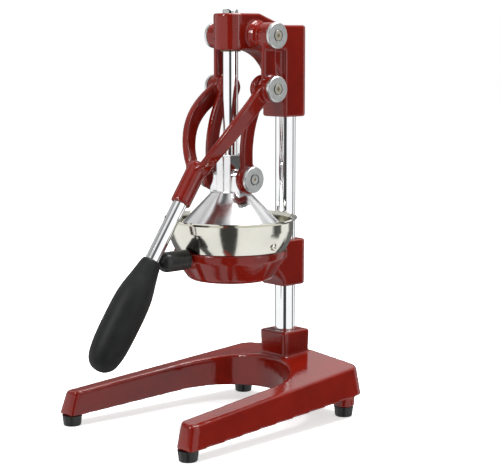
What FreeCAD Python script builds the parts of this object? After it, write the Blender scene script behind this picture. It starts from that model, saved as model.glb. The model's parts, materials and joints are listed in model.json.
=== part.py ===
import FreeCAD, Part
import math
import os
import Sketcher

# Lever citrus juice press on a U shaped base, in millimetres.
# The press rod stands on X = 0, Y = 0; the lever hangs toward -Y, the column stands at +Y.

V = FreeCAD.Vector
os.makedirs("parts", exist_ok=True)
doc = FreeCAD.newDocument("citrus_press")
sheet = doc.addObject("Spreadsheet::Sheet", "dims")
sheet.Label = "dims"


# Sizes and the arithmetic that carries their expressions


class Size:
    """A number together with the spreadsheet expression that drives it."""

    def __init__(self, text, value):
        self.text = text
        self.value = float(value)

    def __float__(self):
        return self.value

    def __neg__(self):
        return Size("(0 - %s)" % self.text, -self.value)

    def __add__(self, other):
        other = as_size(other)
        return Size("(%s + %s)" % (self.text, other.text), self.value + other.value)

    def __sub__(self, other):
        other = as_size(other)
        return Size("(%s - %s)" % (self.text, other.text), self.value - other.value)

    def __mul__(self, other):
        other = as_size(other)
        return Size("(%s * %s)" % (self.text, other.text), self.value * other.value)

    def __truediv__(self, other):
        other = as_size(other)
        return Size("(%s / %s)" % (self.text, other.text), self.value / other.value)

    def __radd__(self, other):
        return as_size(other) + self

    def __rsub__(self, other):
        return as_size(other) - self

    def __rmul__(self, other):
        return as_size(other) * self

    def __rtruediv__(self, other):
        return as_size(other) / self


def as_size(value):
    if isinstance(value, Size):
        return value
    return Size("%.6f" % value if value >= 0 else "(0 - %.6f)" % -value, value)


def sine(angle):
    angle = as_size(angle)
    return Size("sin(%s)" % angle.text, math.sin(math.radians(angle.value)))


def cosine(angle):
    angle = as_size(angle)
    return Size("cos(%s)" % angle.text, math.cos(math.radians(angle.value)))


def root(value):
    return Size("sqrt(%s)" % value.text, math.sqrt(value.value))


class Named:
    """The named sizes of the sheet, one attribute each."""


dim = Named()


def name_sizes(rows):
    for number, (name, value, note) in enumerate(rows, start=1):
        sheet.set("A%d" % number, note)
        sheet.set("B%d" % number, "%g" % value)
        sheet.setAlias("B%d" % number, name)
        setattr(dim, name, Size("dims.%s" % name, value))


name_sizes([
    ("shift_y", 0.0, "moves the whole press so its box is centred on Y = 0"),
    ("clearance", 0.3, "free gap between parts that move past each other"),
    ("running", 0.05, "radial clearance of a turning or sliding fit"),
    ("rod_radius", 8.0, "press rod radius"),
    ("rod_top", 435.0, "height of the press rod end with the press closed"),
    ("column_offset", 81.5, "press axis to column axis"),
    ("column_radius", 11.0, "column radius"),
    ("column_foot", 38.0, "height of the lower end of the column"),
    ("column_head", 405.0, "height of the upper end of the column"),
    ("block_half", 17.7, "half width of head arm, head housing and bracket block"),
    ("block_round", 9.5, "rear corner radius of housing and block"),
    ("edge_round", 2.2, "general casting edge radius"),
    ("head_low", 321.0, "underside of the head housing"),
    ("head_high", 419.0, "top of the head housing"),
    ("arm_low", 393.0, "underside of the head arm"),
    ("arm_high", 431.0, "top of the head arm over the press rod"),
    ("arm_flat", 27.0, "length of the level part of the arm top"),
    ("gusset_radius", 46.0, "concave radius under the head arm"),
    ("gusset_half", 13.5, "half thickness of the gusset under the head arm"),
    ("bush_wall", 2.6, "wall of the rod guide bush"),
    ("pivot_y", 21.0, "lever pivot and link pivot, distance behind the press axis"),
    ("pivot_high", 408.0, "height of the lever pivot"),
    ("crank", 55.0, "lever pivot to link pivot"),
    ("link_low", 259.6, "height of the lower link pivot with the press closed"),
    ("boss_radius", 12.5, "head pivot boss radius"),
    ("boss_flare", 15.5, "head pivot boss radius at its root"),
    ("lever_in", 31.0, "inner face of the lever plates"),
    ("lever_thick", 8.0, "thickness of the lever eyes at the arms"),
    ("lever_eye", 13.8, "lever eye radius"),
    ("lever_front", 10.4, "front edge of the upright lever plates before the pivots"),
    ("lever_rear", 8.3, "rear edge of the upright lever plates behind the pivots"),
    ("lever_step", 2.5, "inner face of the eyes to inner face of the upright plates"),
    ("disc_out", 50.0, "outer face of the lever discs"),
    ("disc_thick", 4.0, "thickness of the discs"),
    ("disc_radius", 13.6, "radius of the discs"),
    ("disc_recess", 6.4, "radius of the recess in the discs"),
    ("screw_radius", 4.0, "pivot screw radius"),
    ("screw_head", 5.5, "pivot screw head radius"),
    ("screw_bite", 12.0, "length of pivot screw held in its boss"),
    ("eye_bush", 6.5, "outer radius of the bushes in the turning eyes"),
    ("link_disc_out", 37.0, "outer face of the lower link discs"),
    ("link_in", 22.9, "inner face of the links"),
    ("link_thick", 7.1, "thickness of the links"),
    ("link_width", 16.5, "width of the links"),
    ("link_bow", 10.5, "sideways bow of the links toward the front"),
    ("link_eye_low", 15.5, "lower link eye radius"),
    ("link_eye_high", 14.6, "upper link eye radius"),
    ("link_boss_in", 19.4, "inner end of the blind boss on the upper link eye"),
    ("fork_thick", 7.0, "thickness of the fork arms"),
    ("fork_width", 17.0, "width of the fork arms"),
    ("socket_y", -45.5, "upper end of the handle socket"),
    ("socket_high", 273.9, "height of the upper end of the handle socket"),
    ("socket_radius", 10.5, "handle socket radius"),
    ("socket_length", 44.8, "handle socket length"),
    ("handle_angle", 34.7, "lean of the handle from upright with the press closed"),
    ("handle_radius", 7.5, "handle rod radius"),
    ("grip_start", 112.0, "handle socket top to the grip collar"),
    ("grip_end", 236.5, "handle socket top to the grip end"),
    ("grip_radius", 19.2, "largest grip radius"),
    ("rim_radius", 70.2, "juice cup rim radius"),
    ("rim_high", 218.0, "height of the juice cup rim"),
    ("cup_radius", 66.4, "juice cup wall radius under the rim"),
    ("cup_foot", 59.4, "juice cup wall radius at its foot"),
    ("cup_wall", 1.0, "sheet thickness of the juice cup"),
    ("spout_radius", 15.0, "juice spout radius"),
    ("bowl_radius", 60.4, "bracket bowl radius"),
    ("bowl_high", 184.0, "top of the bracket bowl"),
    ("bowl_low", 152.0, "underside of the bracket bowl"),
    ("block_low", 137.0, "underside of the bracket block"),
    ("block_high", 187.0, "top of the bracket block"),
    ("bumper_radius", 10.5, "rubber bumper radius"),
    ("bumper_high", 178.6, "height of the bumper axis"),
    ("bell_radius", 52.2, "press bell radius"),
    ("bell_low", 206.0, "lower edge of the press bell with the press closed"),
    ("bell_wall", 4.0, "press bell wall"),
    ("neck_radius", 15.3, "reach of the press bell neck to the front and rear"),
    ("neck_high", 284.0, "top of the press bell neck"),
    ("lug_half", 9.0, "half depth of the cross lugs on the bell neck"),
    ("bell_roof", 240.0, "roof inside the press bell, over the lock nut"),
    ("reamer_radius", 38.0, "reamer cone radius at its foot"),
    ("reamer_high", 230.0, "top of the reamer cone"),
    ("strainer_radius", 56.5, "strainer plate radius"),
    ("strainer_thick", 1.2, "strainer plate thickness"),
    ("base_low", 11.0, "lower edge of the base at the legs' front"),
    ("base_wall", 6.0, "wall of the hollow base"),
    ("leg_out", 106.6, "outer side of the legs at the front, at the lower edge"),
    ("leg_out_top", 102.8, "outer side of the legs at the front, at the ridge"),
    ("leg_in", 81.8, "inner side of the legs at the front, at the lower edge"),
    ("leg_in_top", 80.9, "inner side of the legs at the front, at the top"),
    ("leg_front", -153.0, "front end of the legs at the lower edge"),
    ("leg_front_top", -145.5, "front end of the legs at the ridge"),
    ("base_rear", 113.0, "rear side of the base at the lower edge"),
    ("base_rear_top", 110.0, "rear side of the base at the top"),
    ("ridge_high", 37.2, "height of the inner top edge at the legs' front"),
    ("taper_out", 0.039, "inward run of the outer sides per length"),
    ("taper_in", 0.065, "inward run of the inner sides per length"),
    ("recess_radius", 73.0, "round recess behind the glass"),
    ("recess_y", -14.0, "centre of the round recess"),
    ("top_slope", 4.0, "rise of the base top toward the rear, degrees"),
    ("arch_slope", 2.75, "rise of the base underside toward the rear, degrees"),
    ("crown", 0.1, "fall of the base top toward the sides per length"),
    ("base_boss_half", 19.0, "half width of the column boss at its foot"),
    ("base_boss_high", 86.3, "top of the column boss"),
    ("foot_x", 92.8, "front feet from the middle"),
    ("foot_y", -143.0, "front feet behind the press axis"),
    ("rear_foot_x", 79.0, "rear feet from the middle"),
    ("rear_foot_y", 93.0, "rear feet behind the press axis"),
    ("foot_radius", 9.2, "foot radius on the table"),
    ("foot_radius_top", 10.6, "foot radius under the base"),
])
doc.recompute()

far = 400.0


# Binding, placing and sketching


def bind(item, name, value):
    """Set a property and tie it to its expression."""
    value = as_size(value)
    if not name.startswith("."):
        setattr(item, name, value.value)
    item.setExpression(name, value.text)


def turn(axis, angle):
    return FreeCAD.Rotation(axis, float(angle))


AIM = {
    "z": turn(V(0, 0, 1), 0),
    "-z": turn(V(1, 0, 0), 180),
    "x": turn(V(0, 1, 0), 90),
    "-x": turn(V(0, 1, 0), -90),
    "y": turn(V(1, 0, 0), -90),
    "-y": turn(V(1, 0, 0), 90),
}


def place(item, at, aim="z", shifted=True):
    """Put an object at three sizes, aimed along a named axis or by a rotation."""
    x, y, z = [as_size(value) for value in at]
    if shifted:
        y = y + dim.shift_y
    rotation = AIM[aim] if isinstance(aim, str) else aim
    item.Placement = FreeCAD.Placement(V(x.value, y.value, z.value), rotation)
    item.setExpression(".Placement.Base.x", x.text)
    item.setExpression(".Placement.Base.y", y.text)
    item.setExpression(".Placement.Base.z", z.text)
    return item


def arc_between(start, end, radius, side):
    """Arc from start to end; side 1 turns to the left, -1 to the right."""
    chord = end.sub(start)
    middle = start.add(end).multiply(0.5)
    height = math.sqrt(max(radius ** 2 - chord.Length ** 2 / 4, 0.0))
    normal = V(-chord.y, chord.x, 0).normalize()
    centre = middle.add(normal.multiply(height * side))
    first, last = (start, end) if side > 0 else (end, start)
    angles = [math.atan2(point.y - centre.y, point.x - centre.x) for point in (first, last)]
    circle = Part.Circle(centre, V(0, 0, 1), radius)
    return Part.ArcOfCircle(circle, angles[0], angles[1])


def pin(sketch, geometry, corner, along, value):
    """Tie one coordinate of a sketch point to its expression."""
    value = as_size(value)
    if value.value == 0.0:
        axis = -2 if along == "DistanceX" else -1
        sketch.addConstraint(Sketcher.Constraint("PointOnObject", geometry, corner, axis))
        return
    index = sketch.addConstraint(
        Sketcher.Constraint(along, -1, 1, geometry, corner, value.value))
    sketch.setExpression("Constraints[%d]" % index, value.text)


def outline(sketch, corners):
    """Draw a closed outline. A corner is (x, y), or (x, y, radius, side) when an arc ends there."""
    count = len(corners)
    spots = [V(float(corner[0]), float(corner[1]), 0) for corner in corners]
    ends = []
    for index, corner in enumerate(corners):
        start = spots[index - 1]
        end = spots[index]
        if len(corner) == 2:
            geometry = sketch.addGeometry(Part.LineSegment(start, end), False)
            ends.append((geometry, 1, 2))
        else:
            arc = arc_between(start, end, float(corner[2]), corner[3])
            geometry = sketch.addGeometry(arc, False)
            ends.append((geometry, 1, 2) if corner[3] > 0 else (geometry, 2, 1))
    for index in range(count):
        here = ends[index]
        after = ends[(index + 1) % count]
        sketch.addConstraint(
            Sketcher.Constraint("Coincident", here[0], here[2], after[0], after[1]))
        pin(sketch, here[0], here[2], "DistanceX", corners[index][0])
        pin(sketch, here[0], here[2], "DistanceY", corners[index][1])
        if len(corners[index]) > 2:
            radius = as_size(corners[index][2])
            added = sketch.addConstraint(Sketcher.Constraint("Radius", here[0], radius.value))
            sketch.setExpression("Constraints[%d]" % added, radius.text)


def new_body(label):
    body = doc.addObject("PartDesign::Body", label)
    body.Label = label
    return body


def body_sketch(body, role, corners, lift=0.0):
    """Sketch on one of the body's own planes."""
    sketch = body.newObject("Sketcher::SketchObject", body.Name + "_outline")
    plane = [item for item in body.Origin.OriginFeatures if item.Role == role][0]
    sketch.AttachmentSupport = (plane, [""])
    sketch.MapMode = "FlatFace"
    lift = as_size(lift)
    sketch.AttachmentOffset = FreeCAD.Placement(V(0, 0, lift.value), FreeCAD.Rotation())
    if lift.value:
        sketch.setExpression(".AttachmentOffset.Base.z", lift.text)
    outline(sketch, corners)
    return sketch


def free_sketch(label, corners, lift):
    """Sketch on a level plane of its own, for lofting."""
    sketch = doc.addObject("Sketcher::SketchObject", label)
    outline(sketch, corners)
    place(sketch, (0, 0, lift), shifted=False)
    return sketch


def turned(label, profile):
    """Body turned about its own Z from (radius, height) corners."""
    body = new_body(label)
    sketch = body_sketch(body, "XZ_Plane", profile)
    spin = body.newObject("PartDesign::Revolution", label + "_turned")
    spin.Profile = sketch
    spin.ReferenceAxis = (sketch, ["V_Axis"])
    spin.Angle = 360.0
    body.Tip = spin
    return body


def pad(body, role, corners, length, both_ways=False, lift=0.0, taper=0.0):
    sketch = body_sketch(body, role, corners, lift)
    feature = body.newObject("PartDesign::Pad", body.Name + "_pad")
    feature.Profile = sketch
    bind(feature, "Length", length)
    if both_ways:
        feature.SideType = "Symmetric"
    if taper:
        feature.TaperAngle = taper
    body.Tip = feature
    return feature


def pocket(body, role, corners, length, lift=0.0):
    sketch = body_sketch(body, role, corners, lift)
    feature = body.newObject("PartDesign::Pocket", body.Name + "_pocket")
    feature.Profile = sketch
    bind(feature, "Length", length)
    feature.SideType = "Symmetric"
    body.Tip = feature
    return feature


def around(body, feature, count, axis):
    """Repeat a feature about an axis of its own sketch."""
    pattern = body.newObject("PartDesign::PolarPattern", body.Name + "_pattern")
    pattern.Originals = [feature]
    pattern.Axis = (feature.Profile[0], [axis])
    pattern.Angle = 360.0
    pattern.Occurrences = count
    body.Tip = pattern
    return pattern


def cylinder(label, radius, length, at, aim="z", shifted=False):
    item = doc.addObject("Part::Cylinder", label)
    bind(item, "Radius", radius)
    bind(item, "Height", length)
    return place(item, at, aim, shifted)


def prism(label, across, length, at, aim="z", shifted=False):
    """Hexagon by its width across flats."""
    item = doc.addObject("Part::Prism", label)
    item.Polygon = 6
    bind(item, "Circumradius", as_size(across) / math.sqrt(3))
    bind(item, "Height", length)
    return place(item, at, aim, shifted)


def fuse(label, items):
    item = doc.addObject("Part::MultiFuse", label)
    item.Shapes = items
    item.Refine = True
    item.Label = label
    return item


def common(label, items):
    item = doc.addObject("Part::MultiCommon", label)
    item.Shapes = items
    item.Label = label
    return item


def cut(label, base, tools):
    tool = tools[0]
    if len(tools) > 1:
        tool = fuse(label + "_tools", tools)
    item = doc.addObject("Part::Cut", label)
    item.Base = base
    item.Tool = tool
    item.Refine = True
    item.Label = label
    return item


def rounded(label, base, radius, chosen):
    """Round the edges for which chosen(edge) is true."""
    doc.recompute()
    item = doc.addObject("Part::Fillet", label)
    item.Base = base
    picked = [number for number, edge in enumerate(base.Shape.Edges, start=1) if chosen(edge)]
    item.Edges = [(number, float(radius), float(radius)) for number in picked]
    item.Label = label
    doc.recompute()
    if item.Shape.isNull() or not item.Shape.isValid():
        raise RuntimeError("rounding failed on " + label)
    return item


def wrap(label, shape):
    """A free formed sub-part whose shape is made from the sheet's sizes."""
    item = doc.addObject("Part::Feature", label)
    item.Shape = shape
    item.Label = label
    return item


def centre_of(edge):
    return edge.valueAt((edge.FirstParameter + edge.LastParameter) / 2)


nodes = []


def node(item, label, at=(0, 0, 0), aim="z"):
    """Finish a sub-part: its name, its place, and its entry in the export list."""
    item.Label = label
    place(item, at, aim)
    nodes.append(item)
    return item


# Derived places shared by several sub-parts

SIDES = (("right", 1, "x"), ("left", -1, "-x"))
column_y = dim.column_offset
block_front = column_y - dim.block_half
block_rear = column_y + dim.block_half
link_pivot_high = dim.pivot_high - dim.crank
disc_in = dim.disc_out - dim.disc_thick
boss_face = dim.lever_in - dim.clearance
lug_face = dim.link_in - dim.clearance
link_disc_in = dim.link_disc_out - dim.disc_thick
recess_floor = dim.disc_thick - 1.4
handle_y = dim.socket_y
handle_turn = turn(V(1, 0, 0), 180 - float(dim.handle_angle))
screw_hole = 4.0
foot_screw_radius = 2.1
rivet_radius = 3.6
bolt_recess = 11.5
bolt_seat = 30.0
rear_pad = 11.6
bumper_stand = 2.4


def lean(item):
    """Tie the tilt of a handle part to the handle angle."""
    item.setExpression(".Placement.Rotation.Angle", (180 - dim.handle_angle).text)
    return item


def block_outline():
    """Square section round the column with rounded rear corners."""
    half = dim.block_half
    turn_in = dim.block_round
    return [
        (-half, block_front),
        (half, block_front),
        (half, block_rear - turn_in),
        (half - turn_in, block_rear, turn_in, 1),
        (-half + turn_in, block_rear),
        (-half, block_rear - turn_in, turn_in, 1),
    ]


def hex_screw(label, radius, head, length, head_high, socket, socket_deep):
    """Screw on its own Z: the head's seat is at 0, the shank runs down."""
    body = turned(label + "_blank", [
        (0, -length),
        (radius - 0.6, -length),
        (radius, -length + 0.6),
        (radius, 0),
        (head, 0),
        (head, head_high - 0.4),
        (head - 0.4, head_high),
        (0, head_high),
    ])
    drive = prism(label + "_drive", socket, socket_deep, (0, 0, head_high - socket_deep))
    return cut(label, body, [drive])


def grub_screw(label, radius, length, socket):
    body = turned(label + "_blank", [
        (0, 0),
        (radius - 0.8, 0),
        (radius, 0.8),
        (radius, length),
        (0, length),
    ])
    drive = prism(label + "_drive", socket, length / 2, (0, 0, length / 2))
    return cut(label, body, [drive])


def ring(label, inner, outer, length):
    return turned(label, [
        (inner, 0),
        (outer, 0),
        (outer, length),
        (inner, length),
    ])


def pivot_disc(label):
    """Flanged silver disc with a recess for the screw head."""
    return turned(label, [
        (dim.screw_radius, 0),
        (dim.disc_radius, 0),
        (dim.disc_radius, dim.disc_thick - 1.0),
        (dim.disc_radius - 0.9, dim.disc_thick),
        (dim.disc_recess, dim.disc_thick),
        (dim.disc_recess, recess_floor),
        (dim.screw_radius, recess_floor),
    ])


# Base


def base_outline(out, inner, front, rear, rim, inset):
    """U shaped plan seen from above, from the right leg round to the left leg."""
    side = out - inset
    throat = inner + inset
    nose = front + inset
    back = rear - inset
    curve = dim.recess_radius + rim + inset
    side_rear = side - dim.taper_out * (back - nose)
    throat_low = curve
    soft = 8.0 if float(inset) == 0 else 3.0
    hard = 14.0 if float(inset) == 0 else 9.0
    return [
        (side - soft, nose),
        (side, nose + soft, soft, 1),
        (side_rear, back - hard),
        (side_rear - hard, back, hard, 1),
        (-side_rear + hard, back),
        (-side_rear, back - hard, hard, 1),
        (-side, nose + soft),
        (-side + soft, nose, soft, 1),
        (-throat - soft, nose),
        (-throat, nose + soft, soft, 1),
        (-throat_low, dim.recess_y),
        (0, dim.recess_y + curve, curve, -1),
        (throat_low, dim.recess_y, curve, -1),
        (throat, nose + soft),
        (throat + soft, nose, soft, 1),
    ]


def base_block(label, inset, low):
    """Drafted U between two plan outlines."""
    top = low + 60.0
    grow = 60.0 / (float(dim.ridge_high) - float(dim.base_low))
    lower = free_sketch(label + "_low", base_outline(
        dim.leg_out, dim.leg_in, dim.leg_front, dim.base_rear, 0.0, inset), low)
    upper = free_sketch(label + "_high", base_outline(
        dim.leg_out - (dim.leg_out - dim.leg_out_top) * grow,
        dim.leg_in - (dim.leg_in - dim.leg_in_top) * grow,
        dim.leg_front + (dim.leg_front_top - dim.leg_front) * grow,
        dim.base_rear - (dim.base_rear - dim.base_rear_top) * grow,
        -0.8, inset), top)
    loft = doc.addObject("Part::Loft", label)
    loft.Sections = [lower, upper]
    loft.Solid = True
    loft.Ruled = True
    return loft


def roof(label, drop):
    """Everything under the crowned top of the base, lowered by drop."""
    flat = dim.base_boss_half
    edge = dim.leg_in_top
    wide = 130.0
    body = new_body(label)
    pad(body, "XZ_Plane", [
        (-wide, -80),
        (wide, -80),
        (wide, (edge - wide) * dim.crown),
        (flat, (edge - flat) * dim.crown),
        (-flat, (edge - flat) * dim.crown),
        (-wide, (edge - wide) * dim.crown),
    ], 300.0)
    body.Tip.Reversed = True
    place(body, (0, -153, dim.ridge_high - drop), turn(V(1, 0, 0), dim.top_slope), False)
    body.setExpression(".Placement.Rotation.Angle", dim.top_slope.text)
    return body


def base_casting():
    right = doc.addObject("Part::Box", "base_right")
    bind(right, "Length", 150)
    bind(right, "Width", 320)
    bind(right, "Height", 120)
    place(right, (0, -180, 0), "z", False)
    half = common("base_half", [
        base_block("base_shell", 0.0, dim.base_low), roof("base_top", 0.0), right])
    half = rounded("base_rounded", half, 2.6, base_ridge)
    other = doc.addObject("Part::Mirroring", "base_mirrored")
    other.Source = half
    other.Normal = V(1, 0, 0)
    outer = fuse("base_outer", [half, other])
    hollow = common("base_hollow", [
        base_block("base_core", dim.base_wall, dim.base_low - 6.0),
        roof("base_ceiling", dim.base_wall)])
    keep = [cylinder("keep_column", dim.base_boss_half, 90, (0, column_y, 0))]
    for label, side, aim in SIDES:
        keep.append(cylinder("keep_front_" + label, 10.8, 90, (dim.foot_x * side, dim.foot_y, 0)))
        keep.append(cylinder("keep_rear_" + label, rear_pad, 90,
                             (dim.rear_foot_x * side, dim.rear_foot_y, 0)))
    hollow = cut("base_core_cut", hollow, keep)
    shell = cut("base_hollowed", outer, [hollow])
    arch = doc.addObject("Part::Box", "base_arch")
    bind(arch, "Length", 260)
    bind(arch, "Width", 300)
    bind(arch, "Height", 30)
    place(arch, (-130, -150, dim.base_low - 30), turn(V(1, 0, 0), dim.arch_slope), False)
    arch.setExpression(".Placement.Rotation.Angle", dim.arch_slope.text)
    arched = cut("base_arched", shell, [arch])
    boss = new_body("base_boss")
    half = dim.base_boss_half
    soft = 3.0
    pad(boss, "XY_Plane", [
        (half - soft, column_y - half),
        (half, column_y - half + soft, soft, 1),
        (half, column_y + half - soft),
        (half - soft, column_y + half, soft, 1),
        (-half + soft, column_y + half),
        (-half, column_y + half - soft, soft, 1),
        (-half, column_y - half + soft),
        (-half + soft, column_y - half, soft, 1),
    ], dim.base_boss_high - 50, lift=50.0, taper=1.9)
    parts = [arched, boss, cylinder("boss_root", half, 24, (0, column_y, 30))]
    for label, side, aim in SIDES:
        parts.append(cylinder("rear_pad_" + label, rear_pad, 40 - dim.base_low,
                              (dim.rear_foot_x * side, dim.rear_foot_y, dim.base_low)))
    body = fuse("base_fused", parts)
    tools = [
        cylinder("base_column_bore", dim.column_radius, 60, (0, column_y, dim.column_foot)),
        cylinder("base_bolt_hole", dim.screw_radius, 60, (0, column_y, 10)),
        cylinder("base_bolt_recess", bolt_recess, bolt_seat, (0, column_y, 0)),
    ]
    for label, x, y in foot_places():
        tools.append(cylinder("base_foot_hole_" + label, foot_screw_radius, 12, (x, y, dim.base_low)))
    node(cut("base_casting", body, tools), "base_casting")


def base_ridge(edge):
    """Edges of the base top, inner and outer."""
    spot = centre_of(edge)
    box = edge.BoundBox
    slope = math.tan(math.radians(float(dim.top_slope)))
    inner = float(dim.ridge_high) + slope * (spot.y + 153)
    height = inner + (float(dim.leg_in_top) - abs(spot.x)) * float(dim.crown)
    flat = inner + (float(dim.leg_in_top) - float(dim.base_boss_half)) * float(dim.crown)
    crease = box.XLength < 0.5 and (spot.x < 0.5 or abs(spot.x - float(dim.base_boss_half)) < 0.5)
    return abs(spot.z - min(height, flat)) < 1.2 and not crease


def foot_places():
    return (
        ("front_right", dim.foot_x, dim.foot_y),
        ("front_left", -dim.foot_x, dim.foot_y),
        ("rear_right", dim.rear_foot_x, dim.rear_foot_y),
        ("rear_left", -dim.rear_foot_x, dim.rear_foot_y),
    )


def feet():
    for label, x, y in foot_places():
        foot = turned("foot_" + label, [
            (foot_screw_radius, 5),
            (5.4, 5),
            (5.4, 0),
            (dim.foot_radius - 0.8, 0),
            (dim.foot_radius, 0.8),
            (dim.foot_radius_top, dim.base_low),
            (foot_screw_radius, dim.base_low),
        ])
        node(foot, "foot_" + label, (x, y, 0))
        screw = hex_screw("foot_screw_" + label, foot_screw_radius, 4.4, 17.0, 2.4, 2.5, 1.6)
        node(screw, "foot_screw_" + label, (x, y, 5), "-z")


# Column and its fastening


def column():
    profile = [
        (dim.screw_radius, dim.column_foot),
        (dim.column_radius - 1, dim.column_foot),
        (dim.column_radius, dim.column_foot + 1),
        (dim.column_radius, dim.column_head - 1),
        (dim.column_radius - 1, dim.column_head),
        (0, dim.column_head),
        (0, dim.column_foot + 34),
        (dim.screw_radius, dim.column_foot + 34),
    ]
    node(turned("column", profile), "column", (0, column_y, 0))
    washer_thick = 1.6
    washer = ring("column_washer", dim.screw_radius, 9.0, washer_thick)
    node(washer, "column_washer", (0, column_y, bolt_seat - washer_thick))
    shank = cylinder("column_bolt_shank", dim.screw_radius, 38.0, (0, 0, 5.5))
    head = prism("column_bolt_head", 13.0, 5.6, (0, 0, 0))
    node(fuse("column_bolt", [shank, head]), "column_bolt", (0, column_y, bolt_seat - washer_thick - 5.6))


def set_screws(name, heights):
    for place_name, height in heights:
        label = "%s_%s" % (name, place_name)
        screw = grub_screw(label, screw_hole, 6.3, 4.0)
        node(screw, label, (0, column_y + dim.column_radius, height), "y")


# Head casting


def head_casting():
    housing = new_body("head_housing")
    pad(housing, "XY_Plane", block_outline(), dim.head_high - dim.head_low, lift=dim.head_low)
    arm = new_body("head_arm")
    pad(arm, "YZ_Plane", [
        (0, dim.arm_low),
        (block_front + 1, dim.arm_low),
        (block_front + 1, dim.head_high),
        (block_front, dim.head_high),
        (block_front - 15, dim.head_high + 4.2),
        (dim.arm_flat, dim.arm_high),
        (0, dim.arm_high),
    ], dim.block_half * 2, True)
    gusset = new_body("head_gusset")
    pad(gusset, "YZ_Plane", [
        (block_front - dim.gusset_radius, dim.arm_low + 1),
        (block_front - dim.gusset_radius, dim.arm_low),
        (block_front, dim.arm_low - dim.gusset_radius, dim.gusset_radius, -1),
        (block_front + 1, dim.arm_low - dim.gusset_radius),
        (block_front + 1, dim.arm_low + 1),
    ], dim.gusset_half * 2, True)
    nose = cylinder("head_nose", dim.block_half, dim.arm_high - dim.arm_low, (0, 0, dim.arm_low))
    body = fuse("head_raw", [housing, arm, nose])
    body = rounded("head_rounded", body, dim.edge_round, head_edge)
    parts = [body, gusset]
    for label, side, aim in SIDES:
        boss = turned("head_boss_" + label, [
            (0, -1),
            (dim.boss_flare, -1),
            (dim.boss_flare, 0.8),
            (dim.boss_flare - 1.6, 2.4, 1.7, -1),
            (dim.boss_flare - 1.7, 4.8),
            (dim.boss_radius, 4.8),
            (dim.boss_radius, boss_face - dim.block_half),
            (0, boss_face - dim.block_half),
        ])
        parts.append(place(boss, (dim.block_half * side, dim.pivot_y, dim.pivot_high), aim, False))
    bevel = new_body("head_bevel")
    slant = 6.0
    pad(bevel, "YZ_Plane", [
        (block_rear + 1, dim.head_high - slant),
        (block_rear + 1, dim.head_high + 1),
        (block_rear - slant, dim.head_high + 1),
    ], dim.block_half * 4, True)
    tools = [
        bevel,
        cylinder("head_column_bore", dim.column_radius, dim.column_head - dim.head_low + 20,
                 (0, column_y, dim.head_low - 20)),
        cylinder("head_rod_bore", dim.rod_radius + dim.running + dim.bush_wall, 60,
                 (0, 0, dim.arm_low - 10)),
    ]
    for label, side, aim in SIDES:
        tools.append(cylinder("head_screw_hole_" + label, dim.screw_radius, dim.screw_bite + 5,
                              ((boss_face - dim.screw_bite) * side, dim.pivot_y, dim.pivot_high), aim))
    for label, height in head_screws():
        tools.append(cylinder("head_grub_hole_" + label, screw_hole, 12,
                              (0, column_y + dim.column_radius, height), "y"))
    node(cut("head_casting", fuse("head_fused", parts), tools), "head_casting")
    bush = ring("rod_guide_bush", dim.rod_radius + dim.running,
                dim.rod_radius + dim.running + dim.bush_wall, dim.arm_high - dim.arm_low + 1.0)
    node(bush, "rod_guide_bush", (0, 0, dim.arm_low - 1.5))
    set_screws("head_set_screw", head_screws())


def head_screws():
    return (("lower", dim.head_low + 22.0), ("upper", dim.head_high - 26.0))


def head_edge(edge):
    """Outer top, bottom and front edges of the head, not the ones inside the bend."""
    spot = centre_of(edge)
    box = edge.BoundBox
    half = float(dim.block_half)
    level = box.ZLength < 0.01
    if level and abs(spot.z - float(dim.arm_low)) < 0.01:
        return spot.y < float(block_front) - 0.5
    if level and abs(spot.z - float(dim.head_low)) < 0.01:
        return True
    if spot.z > float(dim.head_high) - 0.01:
        return abs(abs(spot.x) - half) < 0.01 or box.YLength > 1 or spot.y > float(block_rear) - 0.1
    return False


# Bowl bracket, bumper and juice cup


def bracket_screws():
    return (("lower", dim.block_low + 14.0), ("upper", dim.block_high - 14.0))


def bowl_bracket():
    bowl = turned("bracket_bowl", [
        (dim.spout_radius + dim.clearance, dim.bowl_low),
        (dim.bowl_radius - 21.5, dim.bowl_low),
        (dim.bowl_radius - 13.2, dim.bowl_low + 4.4, 10.0, 1),
        (dim.bowl_radius, dim.bowl_high - 8.0),
        (dim.bowl_radius, dim.bowl_high - 0.8),
        (dim.bowl_radius - 0.8, dim.bowl_high),
        (dim.bowl_radius - 11, dim.bowl_high),
        (dim.bowl_radius - 11, dim.bowl_high - 15),
        (dim.bowl_radius - 24, dim.bowl_low + 6),
        (dim.spout_radius + dim.clearance, dim.bowl_low + 5),
    ])
    block = new_body("bracket_block")
    pad(block, "XY_Plane", block_outline(), dim.block_high - dim.block_low, lift=dim.block_low)
    web = new_body("bracket_web")
    pad(web, "YZ_Plane", [
        (dim.bowl_radius - 9.5, dim.bowl_high - 1),
        (dim.bowl_radius - 9.5, dim.bowl_high - 16),
        (dim.bowl_radius - 18, dim.bowl_low + 5),
        (dim.bowl_radius - 9.5, dim.bowl_low + 5),
        (block_front, dim.block_low, 26.0, -1),
        (block_front + 2, dim.block_low),
        (block_front + 2, dim.bowl_high - 1),
    ], dim.block_half * 2, True)
    joined = fuse("bracket_joined", [block, web])
    joined = rounded("bracket_rounded", joined, 1.6, bracket_edge)
    stub_start = dim.bowl_radius - 5.0
    stub = cylinder("bracket_stub", 7.2, dim.bowl_radius + bumper_stand - stub_start,
                    (0, -stub_start, dim.bumper_high - 2.0), "-y")
    tools = [cylinder("bracket_column_bore", dim.column_radius, 80, (0, column_y, dim.block_low - 10))]
    for label, height in bracket_screws():
        tools.append(cylinder("bracket_grub_hole_" + label, screw_hole, 12,
                              (0, column_y + dim.column_radius, height), "y"))
    body = fuse("bracket_fused", [bowl, joined, stub])
    node(cut("bowl_bracket", body, tools), "bowl_bracket")
    set_screws("bracket_set_screw", bracket_screws())


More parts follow.
